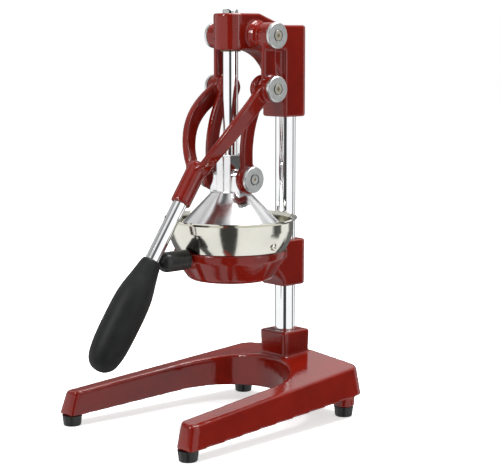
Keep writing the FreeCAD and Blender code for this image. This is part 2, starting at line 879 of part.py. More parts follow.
def bracket_edge(edge):
    spot = centre_of(edge)
    box = edge.BoundBox
    if spot.y < float(block_front) + 0.1 and box.ZLength < 1 and spot.z < float(dim.block_high) - 1:
        return False
    top = box.ZLength < 0.01 and abs(spot.z - float(dim.block_high)) < 0.01
    bottom = box.ZLength < 0.01 and abs(spot.z - float(dim.block_low)) < 0.01
    return (top or bottom) and spot.y > float(block_front) + 2.5


def bumper_end():
    """Distance of the bumper's dome centre in front of the press axis."""
    lean_sine = sine(dim.handle_angle)
    lean_cosine = cosine(dim.handle_angle)
    reach = dim.bumper_radius + dim.handle_radius + dim.clearance
    drop = (dim.socket_high - dim.bumper_high) * lean_sine
    return (drop - reach) / lean_cosine - dim.socket_y


def lever_bumper():
    start = dim.bowl_radius + bumper_stand
    length = bumper_end() - start
    round_radius = dim.bumper_radius
    body = turned("lever_bumper", [
        (0, 0),
        (round_radius - 1.2, 0),
        (round_radius, 1.2),
        (round_radius, length),
        (0, length + round_radius, round_radius, 1),
    ])
    node(body, "lever_bumper", (0, -start, dim.bumper_high), "-y")


def juice_cup():
    wall = dim.cup_wall
    high = dim.rim_high
    floor = dim.bowl_high
    inside = dim.cup_foot - wall
    body = turned("juice_cup_sheet", [
        (inside, floor),
        (dim.cup_foot - 0.6, floor),
        (dim.cup_foot, floor + 0.6),
        (dim.cup_radius, floor + 21.5, 60.0, 1),
        (dim.cup_radius, high - 3.8),
        (dim.rim_radius, high - 1.2),
        (dim.rim_radius, high),
        (dim.rim_radius - 1.6, high),
        (dim.cup_radius - wall, high - 3.2),
        (dim.cup_radius - wall, floor + 21.5),
        (inside, floor + wall, 59.0, -1),
    ])
    tools = []
    for label, side, aim in SIDES:
        tools.append(cylinder("cup_pin_hole_" + label, rivet_radius, 8.0,
                              ((dim.cup_foot - 2.4) * side, 2.0, floor + 7.6), aim))
    node(cut("juice_cup", body, tools), "juice_cup")
    for label, side, aim in SIDES:
        rivet = turned("cup_rivet_" + label, [
            (0, -3.8),
            (rivet_radius, -3.8),
            (rivet_radius, 0.2),
            (rivet_radius - 0.4, 1.1, 1.6, 1),
            (1.6, 1.5),
            (1.2, 0.7),
            (0, 0.7),
        ])
        node(rivet, "cup_rivet_" + label, ((dim.cup_foot + 4.4) * side, 2.0, floor + 7.6), aim)


def juice_funnel():
    """Floor of the cup that falls to the spout."""
    wall = dim.cup_wall
    floor = dim.bowl_high
    body = turned("juice_funnel", [
        (dim.spout_radius - wall, dim.bowl_low + 0.2),
        (dim.spout_radius, dim.bowl_low + 0.2),
        (dim.spout_radius, floor - 13.6),
        (dim.cup_foot - 10.4, floor),
        (dim.cup_foot - wall, floor),
        (dim.cup_foot - wall, floor + wall),
        (dim.cup_foot - 11.0, floor + wall),
        (dim.spout_radius - wall, floor - 13.0),
    ])
    node(body, "juice_funnel")


# Strainer and reamer


def strainer():
    level = dim.bowl_high + dim.cup_wall
    plate = turned("strainer_plate", [
        (8.0, 0),
        (dim.strainer_radius, 0),
        (dim.strainer_radius, dim.strainer_thick),
        (8.0, dim.strainer_thick),
    ])
    half = 1.1
    slot = pocket(plate, "XY_Plane", [
        (dim.strainer_radius - 4.0, -half),
        (dim.strainer_radius - 4.0, half, half + 0.2, 1),
        (dim.reamer_radius + 3.0, half),
        (dim.reamer_radius + 3.0, -half, half + 0.2, 1),
    ], 10.0)
    around(plate, slot, 24, "N_Axis")
    node(plate, "strainer_plate", (0, 0, level))


def reamer_cone():
    foot = dim.bowl_high + dim.cup_wall + dim.strainer_thick
    tall = dim.reamer_high - foot
    wide = dim.reamer_radius
    body = turned("reamer_cone", [
        (7.0, 0),
        (wide, 0),
        (wide, 2.0),
        (wide - 6.0, 5.0),
        (8.0, tall - 7.5),
        (3.0, tall - 3.0, 7.0, 1),
        (0, tall - 2.4),
        (0, tall - 8.0),
        (wide - 11.0, 3.0),
        (7.0, 3.0),
    ])
    rib = pad(body, "XZ_Plane", [
        (wide - 8.0, 1.0),
        (wide - 1.2, 1.0),
        (wide - 1.2, 3.0),
        (wide * 0.66, tall * 0.5, 60.0, 1),
        (8.4, tall - 3.6, 80.0, 1),
        (2.6, tall, 9.0, 1),
        (2.6, tall - 5.0),
    ], 2.6, True)
    around(body, rib, 10, "V_Axis")
    node(body, "reamer_cone", (0, 0, foot))


# Press rod and bell


def press_group():
    rod_foot = dim.bell_roof - 6.6
    length = dim.rod_top - rod_foot
    rod = turned("press_rod", [
        (0, 0),
        (dim.rod_radius - 1.0, 0),
        (dim.rod_radius, 1.0),
        (dim.rod_radius, length - 0.9),
        (dim.rod_radius - 0.9, length),
        (2.4, length),
        (2.4, length - 0.8),
        (0, length - 2.2),
    ])
    node(rod, "press_rod", (0, 0, rod_foot))
    across = 22.0
    thick = 5.8
    blank = prism("lock_nut_blank", across, thick, (0, 0, 0))
    trim = turned("lock_nut_trim", [
        (dim.rod_radius, 0),
        (across / 2, 0),
        (across / 2 + 2.2, 1.3),
        (across / 2 + 2.2, thick),
        (dim.rod_radius, thick),
    ])
    node(common("rod_lock_nut", [blank, trim]), "rod_lock_nut", (0, 0, dim.bell_roof - thick))
    press_bell()


def neck_outline():
    """Eight sided plan of the bell neck."""
    reach = dim.neck_radius
    return [
        (5.2, -reach),
        (9.4, -dim.lug_half),
        (9.4, dim.lug_half),
        (5.2, reach),
        (-5.2, reach),
        (-9.4, dim.lug_half),
        (-9.4, -dim.lug_half),
        (-5.2, -reach),
    ]


def neck_edge(edge):
    return abs(edge.BoundBox.ZMin - float(dim.neck_high)) < 0.01


def press_bell():
    low = dim.bell_low
    wall = dim.bell_wall
    wide = dim.bell_radius
    roof = dim.bell_roof
    shoulder = roof + 5.0
    bell = turned("bell_turned", [
        (wide - wall + 0.4, low),
        (wide, low),
        (wide, low + 5.4),
        (wide - 2.0, low + 7.6, 3.4, 1),
        (dim.neck_radius + 4.4, shoulder),
        (0, shoulder),
        (0, roof),
        (14.2, roof),
        (dim.neck_radius + 1.5, roof - 2.4),
        (wide - wall - 1.4, low + 5.6),
        (wide - wall + 0.4, low + 3.0),
    ])
    neck = new_body("bell_neck")
    pad(neck, "XY_Plane", neck_outline(), dim.neck_high - roof, lift=roof)
    neck = rounded("bell_neck_rounded", neck, 1.0, neck_edge)
    lugs = new_body("bell_lugs")
    half = dim.lug_half
    pad(lugs, "YZ_Plane", [
        (-half, roof),
        (half, roof),
        (half, dim.link_low),
        (0, dim.link_low + half, half, 1),
        (-half, dim.link_low, half, 1),
    ], lug_face * 2, True)
    body = fuse("bell_fused", [bell, neck, lugs])
    tools = [cylinder("bell_rod_bore", dim.rod_radius, 60, (0, 0, roof - 5))]
    for label, side, aim in SIDES:
        tools.append(cylinder("bell_screw_hole_" + label, dim.screw_radius, dim.screw_bite + 5,
                              ((lug_face - dim.screw_bite) * side, 0, dim.link_low), aim))
    node(cut("press_bell", body, tools), "press_bell")


# Links


def link_outline():
    """Bowed strip between the two link pivots."""
    half = dim.link_width / 2
    across = -dim.pivot_y
    fall = dim.link_low - link_pivot_high
    span = root(across * across + fall * fall)
    bow = dim.link_bow
    radius = (span * span / 4 + bow * bow) / (bow * 2)
    toward = across / span
    down = fall / span
    return [
        (dim.pivot_y + down * half, link_pivot_high - toward * half),
        (down * half, dim.link_low - toward * half, radius + half, 1),
        (-down * half, dim.link_low + toward * half),
        (dim.pivot_y - down * half, link_pivot_high + toward * half, radius - half, -1),
    ]


def links():
    face = dim.link_in
    for label, side, aim in SIDES:
        strip = new_body("link_strip_" + label)
        lift = face if side > 0 else -face - dim.link_thick
        pad(strip, "YZ_Plane", link_outline(), dim.link_thick, lift=lift)
        parts = [
            strip,
            cylinder("link_foot_" + label, dim.link_eye_low, dim.link_thick,
                     (face * side, 0, dim.link_low), aim),
            cylinder("link_top_" + label, dim.link_eye_high, dim.link_thick,
                     (face * side, dim.pivot_y, link_pivot_high), aim),
        ]
        raw = fuse("link_raw_" + label, parts)
        soft = rounded("link_rounded_" + label, raw, 1.5, link_edge)
        hub = cylinder("link_hub_" + label, dim.link_eye_low - 3.0, link_disc_in - dim.clearance - face,
                       (face * side, 0, dim.link_low), aim)
        blind = cylinder("link_blind_" + label, dim.link_eye_high - 2.2, boss_face - dim.link_boss_in,
                         (dim.link_boss_in * side, dim.pivot_y, link_pivot_high), aim)
        body = fuse("link_fused_" + label, [soft, hub, blind])
        eye = cylinder("link_bore_" + label, dim.eye_bush, 30, (15 * side, 0, dim.link_low), aim)
        node(cut("link_" + label, body, [eye]), "link_" + label)
        bush = ring("link_bush_" + label, dim.screw_radius + dim.running, dim.eye_bush,
                    link_disc_in - dim.clearance - face)
        node(bush, "link_bush_" + label, (face * side, 0, dim.link_low), aim)


def link_edge(edge):
    return edge.BoundBox.XLength < 0.01


# Lever


def rounded_section(centre, along, width, thick, soft):
    """Rounded rectangle square to a path; thick lies across X as nearly as it can."""
    across = V(1, 0, 0).sub(V(along).multiply(along.x)).normalize()
    wide = along.cross(across)
    spots = []
    for x_sign, w_sign in ((1, 1), (-1, 1), (-1, -1), (1, -1)):
        corner = centre.add(V(across).multiply(x_sign * thick / 2)).add(V(wide).multiply(w_sign * width / 2))
        x_in = V(across).multiply(-x_sign * soft)
        w_in = V(wide).multiply(-w_sign * soft)
        bulge = corner.add(V(x_in).multiply(0.293)).add(V(w_in).multiply(0.293))
        if x_sign * w_sign > 0:
            spots.append((corner.add(w_in), bulge, corner.add(x_in)))
        else:
            spots.append((corner.add(x_in), bulge, corner.add(w_in)))
    edges = []
    for index, (first, middle, last) in enumerate(spots):
        edges.append(Part.Arc(first, middle, last).toShape())
        edges.append(Part.LineSegment(last, spots[(index + 1) % 4][0]).toShape())
    return Part.Wire(edges)


def fork_arm(side):
    """Arm that leaves the lever plate, stands out and closes in on the handle socket."""
    plate = float(dim.lever_in + dim.lever_thick / 2)
    start = V(0, float(dim.pivot_y), float(link_pivot_high))
    run = V(0, float(dim.socket_y), float(dim.socket_high)).sub(start)
    ahead = V(0, run.z, -run.y).normalize()
    bow = 9.8
    spread = ((0.0, 1.0), (0.17, 1.07), (0.33, 1.1), (0.49, 1.05), (0.63, 0.93),
              (0.77, 0.74), (0.9, 0.5), (1.0, 0.29), (1.07, 0.17))
    spots = []
    for share, apart in spread:
        lean_out = V(ahead).multiply(4 * bow * share * (1 - share) if share < 1 else 0.0)
        spot = start.add(V(run).multiply(share)).add(lean_out)
        spots.append(V(plate * apart * side, spot.y, spot.z))
    curve = Part.BSplineCurve()
    curve.interpolate(spots)
    wires = []
    steps = 12
    first = curve.FirstParameter
    last = curve.LastParameter
    for step in range(steps + 1):
        share = step / steps
        at = first + (last - first) * share
        width = float(dim.fork_width) + 4.0 * (1 - share) ** 3 - 2.0 * share ** 2
        thick = float(dim.fork_thick) + 1.0 * (1 - share) ** 2
        along = curve.tangent(at)[0]
        wires.append(rounded_section(curve.value(at), along, width, thick, 2.2))
    return Part.makeLoft(wires, True, False)


def lever_fork():
    parts = []
    tools = []
    for label, side, aim in SIDES:
        upright = new_body("fork_upright_" + label)
        lift = dim.lever_in + dim.lever_step if side > 0 else -dim.lever_in - dim.lever_thick
        pad(upright, "YZ_Plane", upright_outline(), dim.lever_thick - dim.lever_step, lift=lift)
        soft = rounded("fork_upright_soft_" + label, upright, 2.0, upright_edge)
        top_eye = cylinder("fork_top_eye_" + label, dim.lever_eye, disc_in - dim.clearance - dim.lever_in,
                           (dim.lever_in * side, dim.pivot_y, dim.pivot_high), aim)
        low_eye = cylinder("fork_low_eye_" + label, dim.lever_eye - 0.5, disc_in - dim.lever_in,
                           (dim.lever_in * side, dim.pivot_y, link_pivot_high), aim)
        parts += [soft, top_eye, low_eye, wrap("fork_arm_" + label, fork_arm(side))]
        tools.append(cylinder("fork_bush_bore_" + label, dim.eye_bush, 40,
                              ((dim.lever_in - 4) * side, dim.pivot_y, dim.pivot_high), aim))
        tools.append(cylinder("fork_screw_bore_" + label, dim.screw_radius, 40,
                              ((dim.lever_in - 4) * side, dim.pivot_y, link_pivot_high), aim))
        inner = cylinder("fork_face_" + label, 40.0, 12.0, (0, dim.pivot_y, link_pivot_high), aim)
        place(inner, ((dim.lever_in - 12) * side, dim.pivot_y, link_pivot_high), aim, False)
        tools.append(inner)
    socket = turned("fork_socket", [
        (0, -4.5),
        (5.5, -3.9),
        (9.0, -1.2, 6.5, 1),
        (dim.socket_radius, 3.0, 8.0, 1),
        (dim.socket_radius, dim.socket_length - 0.9),
        (dim.socket_radius - 0.9, dim.socket_length),
        (0, dim.socket_length),
    ])
    place(socket, (0, dim.socket_y, dim.socket_high), handle_turn, False)
    lean(socket)
    parts.append(socket)
    bore = turned("fork_rod_bore", [
        (0, 9.0),
        (dim.handle_radius, 9.0),
        (dim.handle_radius, dim.socket_length + 5),
        (0, dim.socket_length + 5),
    ])
    place(bore, (0, dim.socket_y, dim.socket_high), handle_turn, False)
    lean(bore)
    tools.append(bore)
    node(cut("lever_fork", fuse("fork_fused", parts), tools), "lever_fork")
    for label, side, aim in SIDES:
        bush = ring("lever_bush_" + label, dim.screw_radius + dim.running, dim.eye_bush,
                    disc_in - dim.clearance - dim.lever_in)
        node(bush, "lever_bush_" + label, (dim.lever_in * side, dim.pivot_y, dim.pivot_high), aim)


def upright_outline():
    """Lever plate between its eyes; the rear edge sweeps out toward the lower one."""
    front = dim.pivot_y - dim.lever_front
    rear = dim.pivot_y + dim.lever_rear
    flare = 4.3
    reach = 26.0
    sweep = (flare ** 2 + reach ** 2) / (2 * flare)
    return [
        (front, dim.pivot_high),
        (front, link_pivot_high),
        (rear + flare, link_pivot_high),
        (rear + flare, link_pivot_high + 4.0),
        (rear, link_pivot_high + 4.0 + reach, sweep, -1),
        (rear, dim.pivot_high),
    ]


def upright_edge(edge):
    return edge.BoundBox.XLength < 0.01 and edge.BoundBox.ZLength > 5.0


def handle():
    at = (0, dim.socket_y, dim.socket_high)
    rod = turned("handle_rod", [
        (0, 9.0),
        (dim.handle_radius - 0.8, 9.0),
        (dim.handle_radius, 9.8),
        (dim.handle_radius, dim.grip_end - 16),
        (dim.handle_radius - 1.5, dim.grip_end - 14.5),
        (0, dim.grip_end - 14.5),
    ])
    lean(node(rod, "handle_rod", at, handle_turn))
    lean(node(wrap("hand_grip", grip_shape()), "hand_grip", at, handle_turn))


def grip_shape():
    """Soft grip, slim at the collar and full toward the end."""
    start = float(dim.grip_start)
    length = float(dim.grip_end) - start
    full = float(dim.grip_radius)
    bore = float(dim.handle_radius)
    swell = ((0.012, 0.53), (0.065, 0.61), (0.145, 0.715), (0.21, 0.81), (0.275, 0.9), (0.355, 0.967),
             (0.46, 0.998), (0.58, 1.0), (0.69, 0.99), (0.8, 0.945), (0.885, 0.855), (0.945, 0.7),
             (0.985, 0.42), (1.0, 0.0))
    spots = [V(full * wide, 0, start + length * share) for share, wide in swell]
    curve = Part.BSplineCurve()
    curve.interpolate(Points=spots, InitialTangent=V(0.35, 0, 1), FinalTangent=V(-1, 0, 0))
    bottom = start + length - 14.5
    lip = V(spots[0].x - 0.9, 0, start)
    edges = [
        curve.toShape(),
        Part.LineSegment(spots[-1], V(0, 0, bottom)).toShape(),
        Part.LineSegment(V(0, 0, bottom), V(bore - 1.5, 0, bottom)).toShape(),
        Part.LineSegment(V(bore - 1.5, 0, bottom), V(bore, 0, bottom - 1.5)).toShape(),
        Part.LineSegment(V(bore, 0, bottom - 1.5), V(bore, 0, start)).toShape(),
        Part.LineSegment(V(bore, 0, start), lip).toShape(),
        Part.LineSegment(lip, spots[0]).toShape(),
    ]
    face = Part.Face(Part.Wire(edges))
    return face.revolve(V(0, 0, 0), V(0, 0, 1), 360)


# Pivot discs and screws


def pivots():
    sets = (
        ("top", dim.pivot_y, dim.pivot_high, disc_in, boss_face - dim.screw_bite),
        ("middle", dim.pivot_y, link_pivot_high, disc_in, dim.lever_in),
        ("lower", as_size(0), dim.link_low, link_disc_in, lug_face - dim.screw_bite),
    )
    for name, y, z, seat, tip in sets:
        for label, side, aim in SIDES:
            disc_name = "pivot_disc_%s_%s" % (name, label)
            node(pivot_disc(disc_name), disc_name, (seat * side, y, z), aim)
            head_seat = seat + recess_floor
            screw_name = "pivot_screw_%s_%s" % (name, label)
            screw = hex_screw(screw_name, dim.screw_radius, dim.screw_head, head_seat - tip,
                              1.6, 4.0, 2.4)
            node(screw, screw_name, (head_seat * side, y, z), aim)


# Build, centre and check

base_casting()
feet()
column()
head_casting()
bowl_bracket()
lever_bumper()
juice_cup()
juice_funnel()
strainer()
reamer_cone()
press_group()
links()
lever_fork()
handle()
pivots()
doc.recompute()

box = FreeCAD.BoundBox()
for item in nodes:
    box.add(item.Shape.optimalBoundingBox())
sheet.set("B1", "%.2f" % -((box.YMin + box.YMax) / 2))
doc.recompute()

for item in doc.Objects:
    if "Invalid" in item.State or "Error" in item.State:
        raise RuntimeError("%s did not compute: %s" % (item.Label, item.State))
for item in nodes:
    shape = item.Shape
    if shape.isNull() or not shape.isValid():
        raise RuntimeError("%s has no valid shape" % item.Label)
    shape.exportStep("parts/%s.step" % item.Label)
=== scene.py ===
import json
import math
from collections import namedtuple

import bpy
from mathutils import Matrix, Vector


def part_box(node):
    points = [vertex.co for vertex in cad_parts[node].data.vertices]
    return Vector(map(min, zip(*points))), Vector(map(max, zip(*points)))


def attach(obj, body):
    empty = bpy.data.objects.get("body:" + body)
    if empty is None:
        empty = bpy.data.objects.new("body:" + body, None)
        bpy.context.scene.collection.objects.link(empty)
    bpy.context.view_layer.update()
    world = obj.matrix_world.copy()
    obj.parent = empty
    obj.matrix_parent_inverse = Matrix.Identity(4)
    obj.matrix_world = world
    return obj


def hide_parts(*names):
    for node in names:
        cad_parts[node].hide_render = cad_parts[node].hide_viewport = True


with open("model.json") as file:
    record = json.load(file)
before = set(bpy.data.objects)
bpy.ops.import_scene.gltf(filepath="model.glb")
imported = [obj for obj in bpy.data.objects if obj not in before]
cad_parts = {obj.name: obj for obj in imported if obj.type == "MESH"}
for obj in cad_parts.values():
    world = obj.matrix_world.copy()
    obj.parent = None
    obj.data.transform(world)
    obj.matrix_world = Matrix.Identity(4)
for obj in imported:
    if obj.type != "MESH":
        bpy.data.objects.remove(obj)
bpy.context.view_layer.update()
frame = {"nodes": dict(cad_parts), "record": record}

bl_info = {
    "name": "Citrus press looks",
    "version": (1, 0, 0),
    "blender": (4, 5, 0),
    "location": "View3D > Sidebar > Citrus press",
    "description": "Dresses a lever citrus press in enamel, chrome, steel, aluminium and rubber",
    "category": "Object",
}

# Places taken from the frame

MM = 0.001
SIDES = ("left", "right")


def middle(name):
    """Centre of a CAD node's box."""
    low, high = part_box(name)
    return (low + high) / 2


press_axis = middle("press_rod")
lever_axis = middle("pivot_disc_top_right")
crank_axis = middle("pivot_disc_middle_right")
link_axis = middle("pivot_disc_lower_right")
rod_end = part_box("press_rod")[1].z - 15 * MM
neck_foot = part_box("press_bell")[1].z - 41 * MM
screw_low, screw_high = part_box("pivot_screw_top_right")
head_rim = (screw_high.y - screw_low.y) / 2
socket_core = 2 * MM
body_of = {
    name: body for body, names in frame["record"]["behaviour"]["bodies"].items() for name in names
}


# Sizes and colours that a user would change


class EnamelSettings(bpy.types.PropertyGroup):
    tone: bpy.props.FloatVectorProperty(
        name="Enamel colour", description="Deep red of the fired enamel",
        subtype="COLOR", size=3, min=0, max=1, default=(0.178, 0.0072, 0.0029))
    peel: bpy.props.FloatProperty(
        name="Peel height", description="Height of the waves that the rough casting leaves in the gloss",
        unit="LENGTH", default=0.11 * MM)
    peel_pitch: bpy.props.FloatProperty(
        name="Peel pitch", description="Distance from wave to wave",
        unit="LENGTH", default=4.2 * MM)
    grain: bpy.props.FloatProperty(
        name="Mesh size", description="Mesh size of the softened castings",
        unit="LENGTH", default=1.2 * MM)


class MetalSettings(bpy.types.PropertyGroup):
    chrome: bpy.props.FloatVectorProperty(
        name="Chrome colour", description="Bright plated rods and column",
        subtype="COLOR", size=3, min=0, max=1, default=(0.92, 0.93, 0.94))
    steel: bpy.props.FloatVectorProperty(
        name="Steel colour", description="Polished sheet of the juice cup",
        subtype="COLOR", size=3, min=0, max=1, default=(0.74, 0.73, 0.655))
    aluminium: bpy.props.FloatVectorProperty(
        name="Aluminium colour", description="Turned and polished bell and reamer",
        subtype="COLOR", size=3, min=0, max=1, default=(0.86, 0.86, 0.87))
    zinc: bpy.props.FloatVectorProperty(
        name="Zinc colour", description="Plated pivot discs and nut",
        subtype="COLOR", size=3, min=0, max=1, default=(0.69, 0.71, 0.70))
    bolt: bpy.props.FloatVectorProperty(
        name="Bolt colour", description="Warm plated pivot screws",
        subtype="COLOR", size=3, min=0, max=1, default=(0.80, 0.76, 0.64))


class RubberSettings(bpy.types.PropertyGroup):
    grip: bpy.props.FloatVectorProperty(
        name="Grip colour", description="Soft black of the hand grip",
        subtype="COLOR", size=3, min=0, max=1, default=(0.0075, 0.0082, 0.008))
    feet: bpy.props.FloatVectorProperty(
        name="Rubber colour", description="Black of the feet and the lever bumper",
        subtype="COLOR", size=3, min=0, max=1, default=(0.012, 0.012, 0.012))


class StageSettings(bpy.types.PropertyGroup):
    azimuth: bpy.props.FloatProperty(
        name="Camera azimuth", description="Turn of the camera round the press rod from the front",
        default=47.1)
    distance: bpy.props.FloatProperty(
        name="Camera distance", description="From the press rod to the camera, level",
        unit="LENGTH", default=1.5692)
    height: bpy.props.FloatProperty(
        name="Camera height", description="Height of the camera over the table",
        unit="LENGTH", default=0.4121)
    swing: bpy.props.FloatProperty(
        name="Camera swing", description="Turn of the view away from the press rod", default=-0.745)
    dip: bpy.props.FloatProperty(
        name="Camera dip", description="Downward tilt of the view", default=7.8)
    lens: bpy.props.FloatProperty(
        name="Focal length", description="On a sensor 36 mm wide", default=107.45)
    daylight: bpy.props.FloatProperty(
        name="Daylight", description="Level of the even light from all sides", default=0.42)
    shine: bpy.props.FloatProperty(
        name="Shine", description="Level of the white studio that metal and enamel mirror", default=1.06)
    lift: bpy.props.FloatProperty(
        name="Floor lift", description="What the camera adds to the floor to see it white", default=0.62)


class PressSettings(bpy.types.PropertyGroup):
    enamel: bpy.props.PointerProperty(type=EnamelSettings)
    metal: bpy.props.PointerProperty(type=MetalSettings)
    rubber: bpy.props.PointerProperty(type=RubberSettings)
    stage: bpy.props.PointerProperty(type=StageSettings)


# Shaders


class Wire:
    """A socket of a shader tree; Python's operators on it add Math nodes."""

    def __init__(self, shader, socket):
        self.shader = shader
        self.socket = socket

    def calculate(self, operation, *values):
        return self.shader.add("ShaderNodeMath", {"operation": operation}, dict(enumerate(values)))

    def __add__(self, other):
        return self.calculate("ADD", self, other)

    def __sub__(self, other):
        return self.calculate("SUBTRACT", self, other)

    def __rsub__(self, other):
        return self.calculate("SUBTRACT", other, self)

    def __mul__(self, other):
        return self.calculate("MULTIPLY", self, other)

    def __pow__(self, other):
        return self.calculate("POWER", self, other)

    __radd__ = __add__
    __rmul__ = __mul__


class Shader:
    """Shared tools of the materials and the world."""

    def __init__(self, tree):
        self.tree = tree

    def feed(self, socket, value):
        if isinstance(value, Wire):
            self.tree.links.new(value.socket, socket)
        elif isinstance(value, (tuple, list)) and len(value) < len(socket.default_value):
            socket.default_value = (*value, 1.0)
        else:
            socket.default_value = value

    def add(self, kind, settings, inputs, output=0):
        """One node of a kind, with its settings made first and then its sockets fed."""
        node = self.tree.nodes.new(kind)
        for name, value in settings.items():
            setattr(node, name, value)
        for key, value in inputs.items():
            self.feed(node.inputs[key], value)
        return Wire(self, node.outputs[output])

    def place(self):
        """The point on the object, in metres of the row frame."""
        return self.add("ShaderNodeTexCoord", {}, {}, "Object")

    def noise(self, where, pitch, detail=2.0, roughness=0.5):
        """Noise from 0 to 1 with a given distance from wave to wave."""
        inputs = {"Vector": where, "Scale": 1 / pitch, "Detail": detail, "Roughness": roughness}
        return self.add("ShaderNodeTexNoise", {}, inputs, "Fac")

    def stretched(self, where, factors):
        return self.add("ShaderNodeVectorMath", {"operation": "MULTIPLY"}, {0: where, 1: factors})

    def split(self, where):
        node = self.tree.nodes.new("ShaderNodeSeparateXYZ")
        self.feed(node.inputs[0], where)
        return [Wire(self, socket) for socket in node.outputs]

    def joined(self, x, y, z):
        return self.add("ShaderNodeCombineXYZ", {}, {0: x, 1: y, 2: z})

    def blend(self, factor, first, second):
        return self.add("ShaderNodeMix", {"data_type": "RGBA"}, {0: factor, 6: first, 7: second}, 2)

    def ease(self, value, start, end, low=0.0, high=1.0):
        """Smooth step from low to high while value runs from start to end."""
        settings = {"interpolation_type": "SMOOTHSTEP"}
        return self.add("ShaderNodeMapRange", settings, {0: value, 1: start, 2: end, 3: low, 4: high})

    def from_axis(self, where, centre, along):
        """Distance of the point from an axis through centre along x, y or z."""
        parts = self.split(where)
        total = None
        for index, part in enumerate(parts):
            if index == "xyz".index(along):
                continue
            square = (part - centre[index]) ** 2
            total = square if total is None else total + square
        return total ** 0.5


class Finish(Shader):
    """A material on its way: one Principled shader and what feeds it."""

    def __init__(self, name, **constants):
        self.material = bpy.data.materials.new(name)
        self.material.use_nodes = True
        super().__init__(self.material.node_tree)
        self.surface = self.tree.nodes["Principled BSDF"]
        for key, value in constants.items():
            self.put(key.replace("_", " "), value)

    def put(self, socket, value):
        self.feed(self.surface.inputs[socket], value)

    def raise_by(self, height, distance, edge=0.0):
        """Bump from a height of 0 to 1 that stands for a real distance, over edges rounded by edge."""
        inputs = {"Height": height, "Distance": distance}
        if edge:
            inputs["Normal"] = self.add("ShaderNodeBevel", {"samples": 6}, {"Radius": edge})
        self.put("Normal", self.add("ShaderNodeBump", {}, inputs))
        return self.material


def darker(tone, share):
    return tuple(channel * share for channel in tone)


def enamel_finish(look):
    """Fired gloss enamel over a cast surface: slow colour drift, peel waves and pin specks."""
    tone = tuple(look.tone)
    finish = Finish("red_enamel", IOR=1.5, Specular_IOR_Level=0.44)
    where = finish.place()
    drift = finish.noise(where, 45 * MM, 3)
    peel = finish.noise(where, look.peel_pitch, 2)
    fine = finish.noise(where, 1.1 * MM, 1)
    colour = finish.blend(finish.ease(drift, 0.3, 0.7), darker(tone, 0.86), darker(tone, 1.12))
    finish.put("Base Color", finish.blend(finish.ease(fine, 0.66, 0.76, 0, 0.3), colour, darker(tone, 0.5)))
    finish.put("Roughness", 0.08 + 0.06 * drift)
    return finish.raise_by(peel + 0.07 * fine, look.peel)


def chrome_finish(look, name, along, bare_end=None):
    """Bright plate with hair-fine polishing lines, and greyer steel above bare_end."""
    finish = Finish(name, Metallic=1.0)
    where = finish.place()
    squeeze = (0.06, 1, 1) if along == "x" else (0.06, 0.06, 1)
    lines = finish.noise(finish.stretched(where, squeeze), 0.5 * MM, 3)
    clouds = finish.noise(where, 30 * MM, 3)
    colour = finish.blend(finish.ease(clouds, 0.35, 0.7), darker(look.chrome, 0.96), tuple(look.chrome))
    if bare_end:
        end = finish.ease(finish.split(where)[2], bare_end, bare_end + 1 * MM)
        colour = finish.blend(end, colour, darker(look.chrome, 0.5))
    finish.put("Base Color", colour)
    finish.put("Roughness", 0.045 + 0.05 * finish.ease(clouds + 0.1 * lines, 0.4, 0.75))
    return finish.raise_by(lines, 0.004 * MM)


def sheet_finish(look):
    """Polished stainless sheet, spun, with faint rings and a soft bloom."""
    finish = Finish("polished_steel", Metallic=1.0)
    where = finish.place()
    radius = finish.from_axis(where, press_axis, "z")
    height = finish.split(where)[2]
    rings = finish.noise(finish.joined(radius, height, 0), 0.7 * MM, 3)
    bloom = finish.noise(where, 22 * MM, 3)
    finish.put("Base Color", finish.blend(finish.ease(bloom, 0.3, 0.75),
                                          darker(look.steel, 0.93), tuple(look.steel)))
    finish.put("Roughness", 0.075 + 0.07 * finish.ease(rings, 0.35, 0.7) + 0.03 * bloom)
    return finish.raise_by(rings, 0.006 * MM)


def turned_finish(look):
    """Aluminium turned on a lathe and buffed: fine grooves round the axis."""
    finish = Finish("turned_aluminium", Metallic=1.0, Anisotropic=0.3)
    where = finish.place()
    radius = finish.from_axis(where, press_axis, "z")
    height = finish.split(where)[2]
    grooves = finish.noise(finish.joined(radius, height, 0), 0.45 * MM, 4, 0.6)
    bloom = finish.noise(where, 16 * MM, 3)
    finish.put("Base Color", finish.blend(finish.ease(bloom, 0.3, 0.75),
                                          darker(look.aluminium, 0.9), tuple(look.aluminium)))
    dull = finish.ease(height, neck_foot, neck_foot + 3 * MM, 0.1, 0.0)
    finish.put("Roughness", 0.05 + dull * (0.7 + finish.ease(grooves, 0.3, 0.7) + 0.5 * bloom))
    return finish.raise_by(grooves, 0.006 * MM, 2.2 * MM)


def cast_aluminium_finish(look):
    """Tumbled cast aluminium of the reamer, satin with a fine cast grain."""
    finish = Finish("cast_aluminium", Metallic=1.0)
    where = finish.place()
    grain = finish.noise(where, 0.9 * MM, 3)
    bloom = finish.noise(where, 12 * MM, 3)
    finish.put("Base Color", finish.blend(finish.ease(bloom, 0.3, 0.7),
                                          darker(look.aluminium, 0.86), darker(look.aluminium, 0.98)))
    finish.put("Roughness", 0.26 + 0.12 * bloom)
    return finish.raise_by(grain, 0.03 * MM)


